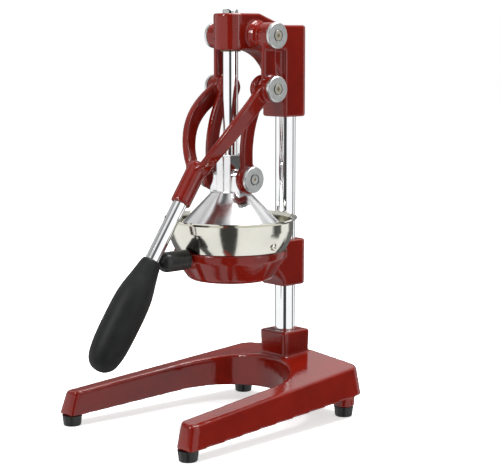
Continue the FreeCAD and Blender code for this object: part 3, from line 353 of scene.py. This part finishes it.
def zinc_finish(look, name, centre):
    """Zinc plate with turning rings about its own pivot, a painted shade ring round the screw head and a
    warm socket.
    """
    finish = Finish(name, Metallic=1.0)
    where = finish.place()
    radius = finish.from_axis(where, centre, "x")
    rings = finish.noise(finish.joined(radius, 0, 0), 0.35 * MM, 3, 0.6)
    frost = finish.noise(where, 1.4 * MM, 3)
    patches = finish.noise(where, 7 * MM, 3)
    colour = finish.blend(finish.ease(patches, 0.35, 0.7), darker(look.zinc, 0.88), tuple(look.zinc))
    # Painted shade: a dark ring round the rim of the screw head, where the head meets the disc.
    painted_rim_shade = finish.ease(radius, head_rim - 1.4 * MM, head_rim - 0.4 * MM) * finish.ease(
        radius, head_rim, head_rim + 0.5 * MM, 1.0, 0.0)
    colour = finish.blend(painted_rim_shade, colour, darker(look.zinc, 0.2))
    plate = finish.ease(radius, socket_core, socket_core + 0.3 * MM)
    finish.put("Base Color", finish.blend(plate, tuple(look.bolt), colour))
    finish.put("Roughness", 0.28 + 0.08 * finish.ease(frost, 0.35, 0.7) + 0.05 * rings)
    return finish.raise_by(rings + 0.3 * frost, 0.005 * MM, 0.7 * MM)


def bolt_finish(look, name, centre):
    """Warm zinc plate on a socket head, with painted shade darkening its rim where it meets the disc."""
    finish = Finish(name, Metallic=1.0)
    where = finish.place()
    radius = finish.from_axis(where, centre, "x")
    frost = finish.noise(where, 0.8 * MM, 3)
    patches = finish.noise(where, 4 * MM, 3)
    colour = finish.blend(finish.ease(patches, 0.3, 0.7), darker(look.bolt, 0.85), tuple(look.bolt))
    # Painted shade: the rim of the screw head darkens where it meets the disc.
    painted_rim_shade = finish.ease(radius, head_rim - 1 * MM, head_rim)
    finish.put("Base Color", finish.blend(painted_rim_shade, colour, darker(look.bolt, 0.16)))
    finish.put("Roughness", 0.24 + 0.14 * frost)
    return finish.raise_by(frost, 0.02 * MM)


def dark_steel_finish():
    """Black oxide on the set screws and foot screws."""
    finish = Finish("black_oxide", Metallic=0.85)
    where = finish.place()
    frost = finish.noise(where, 0.7 * MM, 3)
    finish.put("Base Color", finish.blend(frost, (0.035, 0.035, 0.038), (0.075, 0.075, 0.08)))
    finish.put("Roughness", 0.34 + 0.2 * frost)
    return finish.raise_by(frost, 0.02 * MM)


def bronze_finish():
    """Sintered bronze of the bushes: fine open pores."""
    finish = Finish("bronze", Metallic=1.0)
    where = finish.place()
    pores = finish.noise(where, 0.5 * MM, 3)
    finish.put("Base Color", finish.blend(pores, (0.09, 0.065, 0.04), (0.2, 0.15, 0.09)))
    finish.put("Roughness", 0.32 + 0.2 * pores)
    return finish.raise_by(pores, 0.03 * MM)


def grip_finish(look):
    """Soft moulded grip: fine skin grain, slight wear on the full part."""
    finish = Finish("soft_grip", IOR=1.45, Specular_IOR_Level=0.22, Sheen_Weight=0.02, Sheen_Roughness=0.5)
    where = finish.place()
    grain = finish.noise(where, 0.55 * MM, 3, 0.6)
    skin = finish.noise(where, 9 * MM, 3)
    finish.put("Base Color", finish.blend(finish.ease(skin, 0.35, 0.7),
                                          darker(look.grip, 0.85), darker(look.grip, 1.25)))
    finish.put("Roughness", 0.42 + 0.1 * grain + 0.06 * skin)
    return finish.raise_by(grain, 0.025 * MM)


def rubber_finish(look):
    """Moulded rubber, semi gloss with a dry dusty bloom."""
    finish = Finish("black_rubber", IOR=1.5, Specular_IOR_Level=0.35)
    where = finish.place()
    grain = finish.noise(where, 0.8 * MM, 3)
    bloom = finish.noise(where, 6 * MM, 3)
    finish.put("Base Color", finish.blend(finish.ease(bloom, 0.4, 0.75),
                                          tuple(look.feet), darker(look.feet, 1.9)))
    finish.put("Roughness", 0.22 + 0.2 * bloom)
    return finish.raise_by(grain, 0.04 * MM)


# Meshes


def dress(names, material):
    """Give carried-over CAD nodes their material."""
    for name in names:
        mesh = frame["nodes"][name].data
        mesh.materials.clear()
        mesh.materials.append(material)


def soft_casting(name, grain, rounds, material):
    """A casting's own skin: the CAD node remeshed and eased, so each edge and joint has a fillet."""
    source = frame["nodes"][name]
    piece = bpy.data.objects.new(name + "_skin", source.data.copy())
    bpy.context.scene.collection.objects.link(piece)
    remesh = piece.modifiers.new("remesh", "REMESH")
    remesh.mode = "VOXEL"
    remesh.voxel_size = grain
    remesh.use_smooth_shade = True
    ease = piece.modifiers.new("ease", "SMOOTH")
    ease.factor = 0.5
    ease.iterations = rounds
    bpy.context.view_layer.update()
    depsgraph = bpy.context.evaluated_depsgraph_get()
    mesh = bpy.data.meshes.new_from_object(piece.evaluated_get(depsgraph))
    piece.modifiers.clear()
    piece.data = mesh
    mesh.materials.clear()
    mesh.materials.append(material)
    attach(piece, body_of[name])
    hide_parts(name)
    return piece


# Operators, one for each piece or group of like pieces


class CITRUSPRESS_OT_castings(bpy.types.Operator):
    """Base, head, bowl bracket, lever fork and links in fired red enamel"""
    bl_idname = "citruspress.castings"
    bl_label = "Enamelled castings"

    def execute(self, context):
        look = context.scene.citrus_press.enamel
        material = enamel_finish(look)
        rounds = {"base_casting": 14, "head_casting": 6, "bowl_bracket": 3, "lever_fork": 4,
                  "link_left": 3, "link_right": 3}
        for name, count in rounds.items():
            soft_casting(name, look.grain, count, material)
        return {"FINISHED"}


class CITRUSPRESS_OT_rods(bpy.types.Operator):
    """Column, press rod and handle rod in bright chrome"""
    bl_idname = "citruspress.rods"
    bl_label = "Chrome rods"

    def execute(self, context):
        look = context.scene.citrus_press.metal
        dress(["column"], chrome_finish(look, "chrome_column", "z"))
        dress(["press_rod"], chrome_finish(look, "chrome_press_rod", "z", rod_end))
        dress(["handle_rod"], chrome_finish(look, "chrome_handle", "x"))
        return {"FINISHED"}


class CITRUSPRESS_OT_cup(bpy.types.Operator):
    """Juice cup, its rivets and the slotted strainer in polished steel"""
    bl_idname = "citruspress.cup"
    bl_label = "Juice cup and strainer"

    def execute(self, context):
        look = context.scene.citrus_press.metal
        names = ["juice_cup", "juice_funnel", "strainer_plate"] + ["cup_rivet_" + side for side in SIDES]
        dress(names, sheet_finish(look))
        return {"FINISHED"}


class CITRUSPRESS_OT_bell(bpy.types.Operator):
    """Press bell in turned aluminium"""
    bl_idname = "citruspress.bell"
    bl_label = "Press bell"

    def execute(self, context):
        dress(["press_bell"], turned_finish(context.scene.citrus_press.metal))
        return {"FINISHED"}


class CITRUSPRESS_OT_reamer(bpy.types.Operator):
    """Ribbed reamer in cast aluminium"""
    bl_idname = "citruspress.reamer"
    bl_label = "Reamer cone"

    def execute(self, context):
        dress(["reamer_cone"], cast_aluminium_finish(context.scene.citrus_press.metal))
        return {"FINISHED"}


class CITRUSPRESS_OT_grip(bpy.types.Operator):
    """Soft black hand grip"""
    bl_idname = "citruspress.grip"
    bl_label = "Hand grip"

    def execute(self, context):
        dress(["hand_grip"], grip_finish(context.scene.citrus_press.rubber))
        return {"FINISHED"}


class CITRUSPRESS_OT_rubber(bpy.types.Operator):
    """Rubber feet and the bumper that the lever rests on"""
    bl_idname = "citruspress.rubber"
    bl_label = "Feet and bumper"

    def execute(self, context):
        names = ["lever_bumper"]
        names += ["foot_%s_%s" % (end, side) for end in ("front", "rear") for side in SIDES]
        dress(names, rubber_finish(context.scene.citrus_press.rubber))
        return {"FINISHED"}


class CITRUSPRESS_OT_pivots(bpy.types.Operator):
    """Pivot discs, pivot screws and bushes"""
    bl_idname = "citruspress.pivots"
    bl_label = "Pivots"

    def execute(self, context):
        look = context.scene.citrus_press.metal
        for level, centre in (("top", lever_axis), ("middle", crank_axis), ("lower", link_axis)):
            zinc = zinc_finish(look, "zinc_" + level, centre)
            dress(["pivot_disc_%s_%s" % (level, side) for side in SIDES], zinc)
            screw = zinc if level == "lower" else bolt_finish(look, "warm_plate_" + level, centre)
            dress(["pivot_screw_%s_%s" % (level, side) for side in SIDES], screw)
        bushes = ["%s_bush_%s" % (part, side) for part in ("lever", "link") for side in SIDES]
        dress(bushes + ["rod_guide_bush"], bronze_finish())
        return {"FINISHED"}


class CITRUSPRESS_OT_fixings(bpy.types.Operator):
    """Lock nut, column bolt, set screws and foot screws"""
    bl_idname = "citruspress.fixings"
    bl_label = "Fixings"

    def execute(self, context):
        look = context.scene.citrus_press.metal
        dress(["rod_lock_nut", "column_bolt", "column_washer"], zinc_finish(look, "zinc_nut", press_axis))
        names = ["%s_set_screw_%s" % (part, level) for part in ("head", "bracket")
                 for level in ("lower", "upper")]
        names += ["foot_screw_%s_%s" % (end, side) for end in ("front", "rear") for side in SIDES]
        dress(names, dark_steel_finish())
        return {"FINISHED"}


# Stage


def band(shader, turn, centre, half, soft):
    """One where turn lies within half of centre, easing to nothing over soft, in degrees."""
    away = turn.calculate("WRAP", turn - math.radians(centre), math.pi, -math.pi)
    away = away.calculate("ABSOLUTE", away)
    return shader.ease(away, math.radians(half), math.radians(half + soft), 1.0, 0.0)


# Dark flags that the studio shows in the metal. Turn, half and soft are degrees round from the camera's
# side. Low and high bound the mirrored ray's slope, from -1 straight down to 1 straight up.
Flag = namedtuple("Flag", "turn half soft depth low high")
flags = {
    "camera side": Flag(-3.5, 15, 3, 0.95, -1, 0.6),
    "right edge of rods": Flag(94, 10, 3, 0.9, -0.35, 0.5),
    "right of cup": Flag(131, 4, 2, 0.95, -1, -0.4),
    "left of cup": Flag(-66, 8, 2, 0.93, -1, -0.5),
    "left edge of rods": Flag(-143, 8, 4, 0.5, -0.35, 0.2),
    "far side": Flag(180, 42, 10, 0.85, -1, 0.3),
    "left of handle": Flag(-53, 67, 8, 0.66, 0.3, 0.7),
    "middle of handle": Flag(-8, 18, 14, 0.88, 0.3, 0.7),
    "left of bell": Flag(-145, 20, 8, 0.3, 0.4, 0.85),
    "right of bell": Flag(133, 12, 6, 0.4, 0.6, 0.9),
}


def studio_world(look):
    """White to the camera, even light on the object, and a white studio with dark flags in reflections."""
    world = bpy.data.worlds.new("studio")
    bpy.context.scene.world = world
    world.use_nodes = True
    shader = Shader(world.node_tree)
    background = world.node_tree.nodes["Background"]
    camera_side = math.radians(look.azimuth - 90)
    direction = shader.add("ShaderNodeTexCoord", {}, {}, "Generated")
    x, y, z = shader.split(direction)
    toward = x * math.cos(camera_side) + y * math.sin(camera_side)
    sideways = y * math.cos(camera_side) - x * math.sin(camera_side)
    turn = toward.calculate("ARCTAN2", sideways, toward)
    overhead = shader.ease(sideways, -0.43, -0.39) * shader.ease(sideways, -0.28, 0.04, 1.0, 0.0)
    dark = overhead * shader.ease(z, 0.8, 0.88) * 0.97
    for flag in flags.values():
        part = band(shader, turn, flag.turn, flag.half, flag.soft) * flag.depth
        part = part * shader.ease(z, flag.low - 0.1, flag.low)
        part = part * shader.ease(z, flag.high, flag.high + 0.1, 1.0, 0.0)
        dark = dark.calculate("MAXIMUM", dark, part)
    mirror = 1.0 - dark
    rays = shader.tree.nodes.new("ShaderNodeLightPath")
    camera = Wire(shader, rays.outputs["Is Camera Ray"])
    glossy = Wire(shader, rays.outputs["Is Glossy Ray"])
    level = glossy * mirror * look.shine + (1.0 - glossy) * look.daylight
    level = camera + (1.0 - camera) * level
    shader.feed(background.inputs["Color"], (1.0, 1.0, 1.0))
    shader.feed(background.inputs["Strength"], level)


def floor_finish(look):
    """Pale floor that a camera sees as nearly white and that still takes the shadow."""
    finish = Finish("floor", Base_Color=(0.86, 0.86, 0.86), Roughness=0.7, Emission_Strength=1.0)
    rays = finish.add("ShaderNodeLightPath", {}, {}, "Is Camera Ray")
    finish.put("Emission Color", finish.blend(rays, (0.0, 0.0, 0.0), (look.lift, look.lift, look.lift)))
    return finish.material


# Lamps, placed in metres from the foot of the press rod as the camera sees it: across to the right, out
# toward the camera and up. Size is in metres and power in watts.
Lamp = namedtuple("Lamp", "across out up size power")
lamps = {
    "key": Lamp(-1.1, 0.9, 1.25, (0.32, 0.48), 13),
    "fill": Lamp(1.5, 0.9, 0.7, (0.3, 1.0), 2),
    "top": Lamp(0.42, -0.3, 1.7, (0.9, 0.9), 38),
}
lamp_aim = 0.22


def softbox(name, at, target, size, power):
    lamp = bpy.data.lights.new(name, "AREA")
    lamp.shape = "RECTANGLE"
    lamp.size, lamp.size_y = size
    lamp.energy = power
    item = bpy.data.objects.new(name, lamp)
    item.location = at
    item.rotation_euler = (Vector(target) - Vector(at)).to_track_quat("-Z", "Y").to_euler()
    bpy.context.scene.collection.objects.link(item)


class CITRUSPRESS_OT_stage(bpy.types.Operator):
    """Floor, light and camera of the picture"""
    bl_idname = "citruspress.stage"
    bl_label = "Stage"

    def execute(self, context):
        look = context.scene.citrus_press.stage
        studio_world(look)
        side = math.radians(look.azimuth)
        out = Vector((math.sin(side), -math.cos(side), 0))
        across = Vector((math.cos(side), math.sin(side), 0))
        rod = Vector((press_axis.x, press_axis.y, 0))
        aim = rod + Vector((0, 0, lamp_aim))
        for name, lamp in lamps.items():
            at = rod + across * lamp.across + out * lamp.out + Vector((0, 0, lamp.up))
            softbox(name, at, aim, lamp.size, lamp.power)
        bpy.ops.mesh.primitive_grid_add(x_subdivisions=2, y_subdivisions=2, size=14, location=(0, 0, 0))
        floor = bpy.context.object
        floor.name = "floor"
        floor.data.materials.append(floor_finish(look))
        floor.visible_glossy = False
        camera = bpy.data.objects.new("camera", bpy.data.cameras.new("camera"))
        context.scene.collection.objects.link(camera)
        camera.data.sensor_width = 36
        camera.data.lens = look.lens
        heading = math.radians(look.azimuth + look.swing)
        dip = math.radians(look.dip)
        level = Vector((-math.sin(heading), math.cos(heading), 0))
        ahead = level * math.cos(dip) - Vector((0, 0, math.sin(dip)))
        camera.location = rod + out * look.distance + Vector((0, 0, look.height))
        camera.rotation_euler = ahead.to_track_quat("-Z", "Y").to_euler()
        context.scene.camera = camera
        context.scene.view_settings.view_transform = "Standard"
        return {"FINISHED"}


class CITRUSPRESS_PT_panel(bpy.types.Panel):
    """Buttons that make the press's finishes and its stage"""
    bl_idname = "CITRUSPRESS_PT_panel"
    bl_label = "Citrus press"
    bl_space_type = "VIEW_3D"
    bl_region_type = "UI"
    bl_category = "Citrus press"

    def draw(self, context):
        look = context.scene.citrus_press
        for group in (look.enamel, look.metal, look.rubber, look.stage):
            box = self.layout.box()
            for name in group.__annotations__:
                box.prop(group, name)
        for operator in operators:
            self.layout.operator(operator.bl_idname)


operators = (
    CITRUSPRESS_OT_castings,
    CITRUSPRESS_OT_rods,
    CITRUSPRESS_OT_cup,
    CITRUSPRESS_OT_bell,
    CITRUSPRESS_OT_reamer,
    CITRUSPRESS_OT_grip,
    CITRUSPRESS_OT_rubber,
    CITRUSPRESS_OT_pivots,
    CITRUSPRESS_OT_fixings,
    CITRUSPRESS_OT_stage,
)
classes = (
    EnamelSettings, MetalSettings, RubberSettings, StageSettings, PressSettings, *operators,
    CITRUSPRESS_PT_panel,
)


def register():
    for item in classes:
        bpy.utils.register_class(item)
    bpy.types.Scene.citrus_press = bpy.props.PointerProperty(type=PressSettings)


def unregister():
    del bpy.types.Scene.citrus_press
    for item in reversed(classes):
        bpy.utils.unregister_class(item)


def main():
    register()
    bpy.ops.citruspress.castings()
    bpy.ops.citruspress.rods()
    bpy.ops.citruspress.cup()
    bpy.ops.citruspress.bell()
    bpy.ops.citruspress.reamer()
    bpy.ops.citruspress.grip()
    bpy.ops.citruspress.rubber()
    bpy.ops.citruspress.pivots()
    bpy.ops.citruspress.fixings()
    bpy.ops.citruspress.stage()


if __name__ == "__main__":
    main()
